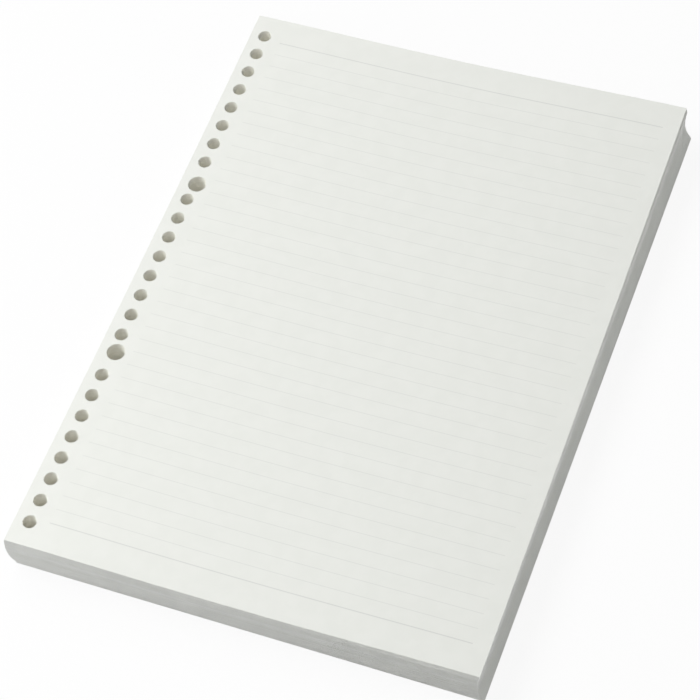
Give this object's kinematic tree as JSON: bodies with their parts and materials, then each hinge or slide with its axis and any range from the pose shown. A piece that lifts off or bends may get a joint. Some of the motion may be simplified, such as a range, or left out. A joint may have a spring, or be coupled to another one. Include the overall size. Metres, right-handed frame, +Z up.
{
  "type": "pile of punched loose-leaf paper",
  "caption": "Squared pile of loose ruled refill leaves with a row of punched holes along one long edge, for filling a ring binder.",
  "frame": {"origin": "on the surface that the pile lies on, under the middle of its box", "axes": "+X across the leaf from the punched edge, +Y along the leaf from its near end, +Z up"},
  "size_m": [0.184, 0.2578, 0.017],
  "materials": {
    "refill_paper": "uncoated writing paper, smooth and matt, cream white, with faint grey ruling"
  },
  "bodies": {
    "leaf_lift_01": {"leaf_lift_01": "refill_paper"},
    "leaf_lift_02": {"leaf_lift_02": "refill_paper"},
    "leaf_lift_03": {"leaf_lift_03": "refill_paper"},
    "leaf_lift_04": {"leaf_lift_04": "refill_paper"},
    "leaf_lift_05": {"leaf_lift_05": "refill_paper"},
    "leaf_lift_06": {"leaf_lift_06": "refill_paper"},
    "leaf_lift_07": {"leaf_lift_07": "refill_paper"},
    "leaf_lift_08": {"leaf_lift_08": "refill_paper"},
    "leaf_lift_09": {"leaf_lift_09": "refill_paper"},
    "leaf_lift_10": {"leaf_lift_10": "refill_paper"},
    "leaf_lift_11": {"leaf_lift_11": "refill_paper"},
    "leaf_lift_12": {"leaf_lift_12": "refill_paper"},
    "leaf_lift_13": {"leaf_lift_13": "refill_paper"},
    "leaf_lift_14": {"leaf_lift_14": "refill_paper"},
    "leaf_lift_15": {"leaf_lift_15": "refill_paper"},
    "leaf_lift_16": {"leaf_lift_16": "refill_paper"},
    "top_leaf_8": {"top_leaf_8": "refill_paper"},
    "top_leaf_7": {"top_leaf_7": "refill_paper"},
    "top_leaf_6": {"top_leaf_6": "refill_paper"},
    "top_leaf_5": {"top_leaf_5": "refill_paper"},
    "top_leaf_4": {"top_leaf_4": "refill_paper"},
    "top_leaf_3": {"top_leaf_3": "refill_paper"},
    "top_leaf_2": {"top_leaf_2": "refill_paper"},
    "top_leaf_1": {"top_leaf_1": "refill_paper"}
  },
  "joints": [
    {"name": "leaf_lift_02_off", "type": "slide", "parent": "leaf_lift_01", "child": "leaf_lift_02", "axis": [0, 0, 1], "range_m": [0, 0.03]},
    {"name": "leaf_lift_03_off", "type": "slide", "parent": "leaf_lift_02", "child": "leaf_lift_03", "axis": [0, 0, 1], "range_m": [0, 0.03]},
    {"name": "leaf_lift_04_off", "type": "slide", "parent": "leaf_lift_03", "child": "leaf_lift_04", "axis": [0, 0, 1], "range_m": [0, 0.03]},
    {"name": "leaf_lift_05_off", "type": "slide", "parent": "leaf_lift_04", "child": "leaf_lift_05", "axis": [0, 0, 1], "range_m": [0, 0.03]},
    {"name": "leaf_lift_06_off", "type": "slide", "parent": "leaf_lift_05", "child": "leaf_lift_06", "axis": [0, 0, 1], "range_m": [0, 0.03]},
    {"name": "leaf_lift_07_off", "type": "slide", "parent": "leaf_lift_06", "child": "leaf_lift_07", "axis": [0, 0, 1], "range_m": [0, 0.03]},
    {"name": "leaf_lift_08_off", "type": "slide", "parent": "leaf_lift_07", "child": "leaf_lift_08", "axis": [0, 0, 1], "range_m": [0, 0.03]},
    {"name": "leaf_lift_09_off", "type": "slide", "parent": "leaf_lift_08", "child": "leaf_lift_09", "axis": [0, 0, 1], "range_m": [0, 0.03]},
    {"name": "leaf_lift_10_off", "type": "slide", "parent": "leaf_lift_09", "child": "leaf_lift_10", "axis": [0, 0, 1], "range_m": [0, 0.03]},
    {"name": "leaf_lift_11_off", "type": "slide", "parent": "leaf_lift_10", "child": "leaf_lift_11", "axis": [0, 0, 1], "range_m": [0, 0.03]},
    {"name": "leaf_lift_12_off", "type": "slide", "parent": "leaf_lift_11", "child": "leaf_lift_12", "axis": [0, 0, 1], "range_m": [0, 0.03]},
    {"name": "leaf_lift_13_off", "type": "slide", "parent": "leaf_lift_12", "child": "leaf_lift_13", "axis": [0, 0, 1], "range_m": [0, 0.03]},
    {"name": "leaf_lift_14_off", "type": "slide", "parent": "leaf_lift_13", "child": "leaf_lift_14", "axis": [0, 0, 1], "range_m": [0, 0.03]},
    {"name": "leaf_lift_15_off", "type": "slide", "parent": "leaf_lift_14", "child": "leaf_lift_15", "axis": [0, 0, 1], "range_m": [0, 0.03]},
    {"name": "leaf_lift_16_off", "type": "slide", "parent": "leaf_lift_15", "child": "leaf_lift_16", "axis": [0, 0, 1], "range_m": [0, 0.03]},
    {"name": "top_leaf_8_off", "type": "slide", "parent": "leaf_lift_16", "child": "top_leaf_8", "axis": [0, 0, 1], "range_m": [0, 0.03]},
    {"name": "top_leaf_7_off", "type": "slide", "parent": "top_leaf_8", "child": "top_leaf_7", "axis": [0, 0, 1], "range_m": [0, 0.03]},
    {"name": "top_leaf_6_off", "type": "slide", "parent": "top_leaf_7", "child": "top_leaf_6", "axis": [0, 0, 1], "range_m": [0, 0.03]},
    {"name": "top_leaf_5_off", "type": "slide", "parent": "top_leaf_6", "child": "top_leaf_5", "axis": [0, 0, 1], "range_m": [0, 0.03]},
    {"name": "top_leaf_4_off", "type": "slide", "parent": "top_leaf_5", "child": "top_leaf_4", "axis": [0, 0, 1], "range_m": [0, 0.03]},
    {"name": "top_leaf_3_off", "type": "slide", "parent": "top_leaf_4", "child": "top_leaf_3", "axis": [0, 0, 1], "range_m": [0, 0.03]},
    {"name": "top_leaf_2_off", "type": "slide", "parent": "top_leaf_3", "child": "top_leaf_2", "axis": [0, 0, 1], "range_m": [0, 0.03]},
    {"name": "top_leaf_1_off", "type": "slide", "parent": "top_leaf_2", "child": "top_leaf_1", "axis": [0, 0, 1], "range_m": [0, 0.03]}
  ]
}
